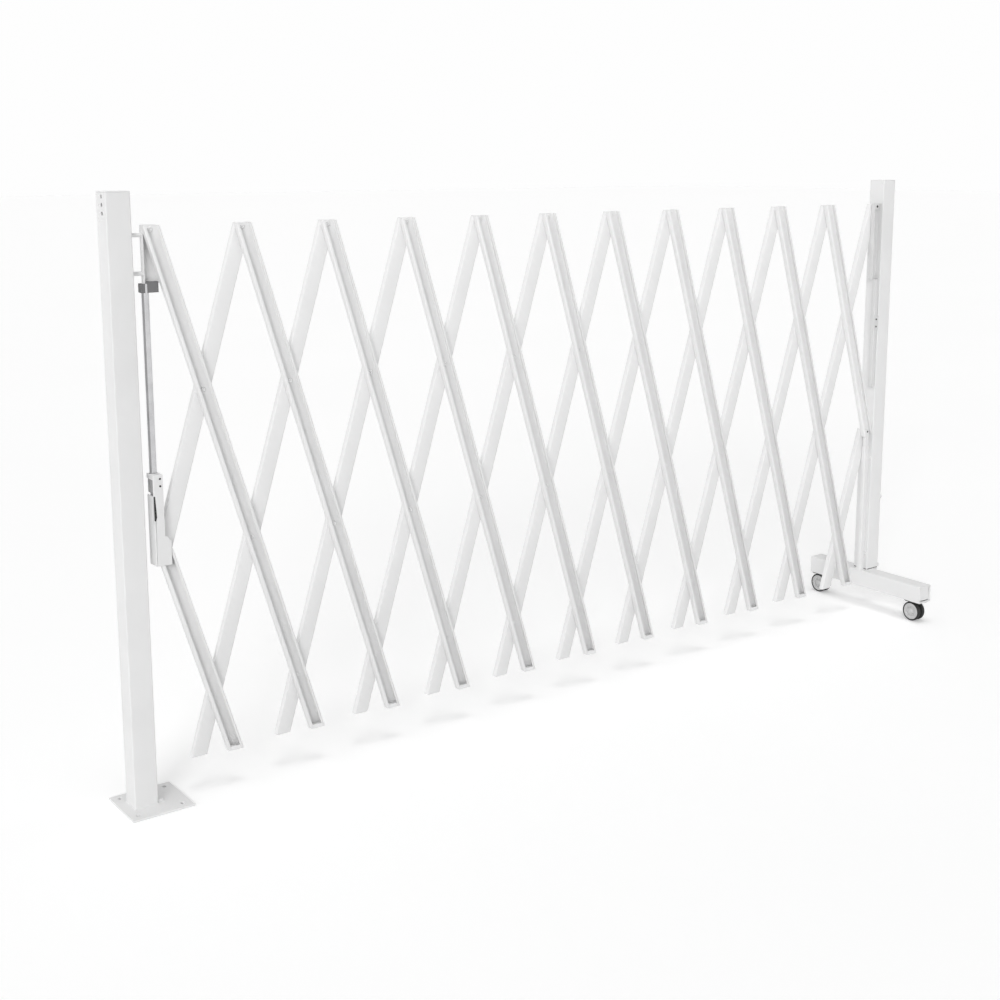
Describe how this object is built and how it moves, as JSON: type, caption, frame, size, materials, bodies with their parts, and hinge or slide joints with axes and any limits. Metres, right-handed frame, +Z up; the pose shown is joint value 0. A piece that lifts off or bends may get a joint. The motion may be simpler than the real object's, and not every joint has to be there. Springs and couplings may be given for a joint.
{
  "type": "expandable safety barrier",
  "caption": "Free-standing scissor barrier: a riveted channel lattice between a fixed post on a base plate and a mobile post on a beam with castors.",
  "frame": {"origin": "on the floor under the axis of the fixed post, on the underside of the base plate", "axes": "+X along the barrier from the fixed post to the mobile post, +Z up, the open side of the front bars faces -Y"},
  "size_m": [2.842, 0.4935, 1.51],
  "materials": {
    "white_post": "smooth white powder coat",
    "white_bar": "smooth white powder coat on folded sheet",
    "rivet_steel": "zinc-plated rivets, partly painted",
    "rod_steel": "bright drawn rod",
    "bush_grey": "moulded grey plastic",
    "castor_black": "black painted steel",
    "disc_grey": "light grey moulded wheel disc",
    "tyre_rubber": "matt black rubber"
  },
  "bodies": {
    "fixed_frame": {"fixed_post": "white_post", "fixed_post_cap": "white_post", "base_plate": "white_post", "fixed_top_bracket": "white_post", "rod_bush": "bush_grey", "fixed_guide_rod": "rod_steel"},
    "fixed_slider": {"fixed_slider": "white_post", "slider_bush": "bush_grey"},
    "mobile_frame": {"mobile_post": "white_post", "mobile_post_cap": "white_post", "mobile_top_bracket": "white_post", "mobile_guide_rail": "white_post", "mobile_guide_tube": "white_post", "castor_beam": "white_post", "foot_gussets": "white_post", "latch_knob": "white_post", "castor_plates": "castor_black"},
    "mobile_slider": {"mobile_slider": "white_post"},
    "front_swivel": {"front_castor_leg": "castor_black"},
    "front_wheels": {"front_castor_wheels": "disc_grey", "front_castor_tyres": "tyre_rubber"},
    "rear_swivel": {"rear_castor_leg": "castor_black"},
    "rear_wheels": {"rear_castor_wheels": "disc_grey", "rear_castor_tyres": "tyre_rubber"},
    "front_bar_short": {"front_bar_short": "white_bar", "rivet_short": "rivet_steel"},
    "front_bar_0": {"front_bar_0": "white_bar", "rivets_0": "rivet_steel"},
    "front_bar_1": {"front_bar_1": "white_bar", "rivets_1": "rivet_steel"},
    "front_bar_2": {"front_bar_2": "white_bar", "rivets_2": "rivet_steel"},
    "front_bar_3": {"front_bar_3": "white_bar", "rivets_3": "rivet_steel"},
    "front_bar_4": {"front_bar_4": "white_bar", "rivets_4": "rivet_steel"},
    "front_bar_5": {"front_bar_5": "white_bar", "rivets_5": "rivet_steel"},
    "front_bar_6": {"front_bar_6": "white_bar", "rivets_6": "rivet_steel"},
    "front_bar_7": {"front_bar_7": "white_bar", "rivets_7": "rivet_steel"},
    "front_bar_8": {"front_bar_8": "white_bar", "rivets_8": "rivet_steel"},
    "front_bar_9": {"front_bar_9": "white_bar", "rivets_9": "rivet_steel"},
    "front_bar_10": {"front_bar_10": "white_bar", "rivets_10": "rivet_steel"},
    "back_bar_1": {"back_bar_1": "white_bar"},
    "back_bar_2": {"back_bar_2": "white_bar"},
    "back_bar_3": {"back_bar_3": "white_bar"},
    "back_bar_4": {"back_bar_4": "white_bar"},
    "back_bar_5": {"back_bar_5": "white_bar"},
    "back_bar_6": {"back_bar_6": "white_bar"},
    "back_bar_7": {"back_bar_7": "white_bar"},
    "back_bar_8": {"back_bar_8": "white_bar"},
    "back_bar_9": {"back_bar_9": "white_bar"},
    "back_bar_10": {"back_bar_10": "white_bar"},
    "back_bar_11": {"back_bar_11": "white_bar"},
    "back_bar_short": {"back_bar_short": "white_bar"}
  },
  "joints": [
    {"name": "fold", "type": "hinge", "parent": "fixed_frame", "child": "front_bar_0", "pos_m": [0.08, -0.012, 1.421], "axis": [0, 1, 0], "range_deg": [-8, 9.6]},
    {"name": "pivot_back_bar_3", "type": "hinge", "parent": "front_bar_0", "child": "back_bar_3", "pos_m": [0.43536, -0.012, 0.24659], "axis": [0, 1, 0], "range_deg": [-19.7, 16.5]},
    {"name": "pivot_front_bar_3", "type": "hinge", "parent": "back_bar_3", "child": "front_bar_3", "pos_m": [0.79072, -0.012, 1.421], "axis": [0, 1, 0], "range_deg": [-16.5, 19.7]},
    {"name": "pivot_back_bar_6", "type": "hinge", "parent": "front_bar_3", "child": "back_bar_6", "pos_m": [1.14608, -0.012, 0.24659], "axis": [0, 1, 0], "range_deg": [-19.7, 16.5]},
    {"name": "pivot_front_bar_6", "type": "hinge", "parent": "back_bar_6", "child": "front_bar_6", "pos_m": [1.50144, -0.012, 1.421], "axis": [0, 1, 0], "range_deg": [-16.5, 19.7]},
    {"name": "pivot_back_bar_9", "type": "hinge", "parent": "front_bar_6", "child": "back_bar_9", "pos_m": [1.8568, -0.012, 0.24659], "axis": [0, 1, 0], "range_deg": [-19.7, 16.5]},
    {"name": "pivot_front_bar_9", "type": "hinge", "parent": "back_bar_9", "child": "front_bar_9", "pos_m": [2.21216, -0.012, 1.421], "axis": [0, 1, 0], "range_deg": [-16.5, 19.7]},
    {"name": "pivot_back_bar_11", "type": "hinge", "parent": "front_bar_9", "child": "back_bar_11", "pos_m": [2.44906, -0.012, 0.63806], "axis": [0, 1, 0], "range_deg": [-19.7, 16.5]},
    {"name": "pivot_back_bar_1", "type": "hinge", "parent": "front_bar_0", "child": "back_bar_1", "pos_m": [0.19845, -0.012, 1.02953], "axis": [0, 1, 0], "range_deg": [-19.7, 16.5]},
    {"name": "pivot_back_bar_2", "type": "hinge", "parent": "front_bar_0", "child": "back_bar_2", "pos_m": [0.31691, -0.012, 0.63806], "axis": [0, 1, 0], "range_deg": [-19.7, 16.5]},
    {"name": "pivot_front_bar_1", "type": "hinge", "parent": "back_bar_3", "child": "front_bar_1", "pos_m": [0.55381, -0.012, 0.63806], "axis": [0, 1, 0], "range_deg": [-16.5, 19.7]},
    {"name": "pivot_front_bar_2", "type": "hinge", "parent": "back_bar_3", "child": "front_bar_2", "pos_m": [0.67227, -0.012, 1.02953], "axis": [0, 1, 0], "range_deg": [-16.5, 19.7]},
    {"name": "pivot_back_bar_4", "type": "hinge", "parent": "front_bar_3", "child": "back_bar_4", "pos_m": [0.90917, -0.012, 1.02953], "axis": [0, 1, 0], "range_deg": [-19.7, 16.5]},
    {"name": "pivot_back_bar_5", "type": "hinge", "parent": "front_bar_3", "child": "back_bar_5", "pos_m": [1.02763, -0.012, 0.63806], "axis": [0, 1, 0], "range_deg": [-19.7, 16.5]},
    {"name": "pivot_front_bar_4", "type": "hinge", "parent": "back_bar_6", "child": "front_bar_4", "pos_m": [1.26453, -0.012, 0.63806], "axis": [0, 1, 0], "range_deg": [-16.5, 19.7]},
    {"name": "pivot_front_bar_5", "type": "hinge", "parent": "back_bar_6", "child": "front_bar_5", "pos_m": [1.38298, -0.012, 1.02953], "axis": [0, 1, 0], "range_deg": [-16.5, 19.7]},
    {"name": "pivot_back_bar_7", "type": "hinge", "parent": "front_bar_6", "child": "back_bar_7", "pos_m": [1.61989, -0.012, 1.02953], "axis": [0, 1, 0], "range_deg": [-19.7, 16.5]},
    {"name": "pivot_back_bar_8", "type": "hinge", "parent": "front_bar_6", "child": "back_bar_8", "pos_m": [1.73834, -0.012, 0.63806], "axis": [0, 1, 0], "range_deg": [-19.7, 16.5]},
    {"name": "pivot_front_bar_7", "type": "hinge", "parent": "back_bar_9", "child": "front_bar_7", "pos_m": [1.97525, -0.012, 0.63806], "axis": [0, 1, 0], "range_deg": [-16.5, 19.7]},
    {"name": "pivot_front_bar_8", "type": "hinge", "parent": "back_bar_9", "child": "front_bar_8", "pos_m": [2.0937, -0.012, 1.02953], "axis": [0, 1, 0], "range_deg": [-16.5, 19.7]},
    {"name": "pivot_back_bar_10", "type": "hinge", "parent": "front_bar_9", "child": "back_bar_10", "pos_m": [2.33061, -0.012, 1.02953], "axis": [0, 1, 0], "range_deg": [-19.7, 16.5]},
    {"name": "pivot_front_bar_10", "type": "hinge", "parent": "back_bar_11", "child": "front_bar_10", "pos_m": [2.56752, -0.012, 1.02953], "axis": [0, 1, 0], "range_deg": [-16.5, 19.7]},
    {"name": "pivot_back_bar_short", "type": "hinge", "parent": "front_bar_9", "child": "back_bar_short", "pos_m": [2.56752, -0.012, 0.24659], "axis": [0, 1, 0], "range_deg": [-19.7, 16.5]},
    {"name": "pivot_front_bar_short", "type": "hinge", "parent": "back_bar_2", "child": "front_bar_short", "pos_m": [0.19845, -0.012, 0.24659], "axis": [0, 1, 0], "range_deg": [-16.5, 19.7]},
    {"name": "pivot_mobile_frame", "type": "hinge", "parent": "back_bar_11", "child": "mobile_frame", "pos_m": [2.68597, -0.012, 1.421], "axis": [0, 1, 0], "range_deg": [-8.5, 10.1]},
    {"name": "pivot_fixed_slider", "type": "hinge", "parent": "back_bar_1", "child": "fixed_slider", "pos_m": [0.08, -0.012, 0.63806], "axis": [0, 1, 0], "range_deg": [-8.5, 10.1]},
    {"name": "pivot_mobile_slider", "type": "hinge", "parent": "front_bar_10", "child": "mobile_slider", "pos_m": [2.68597, -0.012, 0.63806], "axis": [0, 1, 0], "range_deg": [-10.1, 8.5]},
    {"name": "front_swivel", "type": "hinge", "parent": "mobile_frame", "child": "front_swivel", "pos_m": [2.71697, -0.244, 0.0705], "axis": [0, 0, 1], "continuous": true},
    {"name": "front_roll", "type": "hinge", "parent": "front_swivel", "child": "front_wheels", "pos_m": [2.71697, -0.236, 0.0335], "axis": [1, 0, 0], "continuous": true},
    {"name": "rear_swivel", "type": "hinge", "parent": "mobile_frame", "child": "rear_swivel", "pos_m": [2.71697, 0.172, 0.0705], "axis": [0, 0, 1], "continuous": true},
    {"name": "rear_roll", "type": "hinge", "parent": "rear_swivel", "child": "rear_wheels", "pos_m": [2.71697, 0.18, 0.0335], "axis": [1, 0, 0], "continuous": true}
  ],
  "couplings": [
    {"joint": "pivot_back_bar_3", "follows": "fold", "ratio": -2},
    {"joint": "pivot_front_bar_3", "follows": "fold", "ratio": 2},
    {"joint": "pivot_back_bar_6", "follows": "fold", "ratio": -2},
    {"joint": "pivot_front_bar_6", "follows": "fold", "ratio": 2},
    {"joint": "pivot_back_bar_9", "follows": "fold", "ratio": -2},
    {"joint": "pivot_front_bar_9", "follows": "fold", "ratio": 2},
    {"joint": "pivot_back_bar_11", "follows": "fold", "ratio": -2},
    {"joint": "pivot_back_bar_1", "follows": "fold", "ratio": -2},
    {"joint": "pivot_back_bar_2", "follows": "fold", "ratio": -2},
    {"joint": "pivot_front_bar_1", "follows": "fold", "ratio": 2},
    {"joint": "pivot_front_bar_2", "follows": "fold", "ratio": 2},
    {"joint": "pivot_back_bar_4", "follows": "fold", "ratio": -2},
    {"joint": "pivot_back_bar_5", "follows": "fold", "ratio": -2},
    {"joint": "pivot_front_bar_4", "follows": "fold", "ratio": 2},
    {"joint": "pivot_front_bar_5", "follows": "fold", "ratio": 2},
    {"joint": "pivot_back_bar_7", "follows": "fold", "ratio": -2},
    {"joint": "pivot_back_bar_8", "follows": "fold", "ratio": -2},
    {"joint": "pivot_front_bar_7", "follows": "fold", "ratio": 2},
    {"joint": "pivot_front_bar_8", "follows": "fold", "ratio": 2},
    {"joint": "pivot_back_bar_10", "follows": "fold", "ratio": -2},
    {"joint": "pivot_front_bar_10", "follows": "fold", "ratio": 2},
    {"joint": "pivot_back_bar_short", "follows": "fold", "ratio": -2},
    {"joint": "pivot_front_bar_short", "follows": "fold", "ratio": 2},
    {"joint": "pivot_mobile_frame", "follows": "fold", "ratio": 1},
    {"joint": "pivot_fixed_slider", "follows": "fold", "ratio": 1},
    {"joint": "pivot_mobile_slider", "follows": "fold", "ratio": -1}
  ]
}
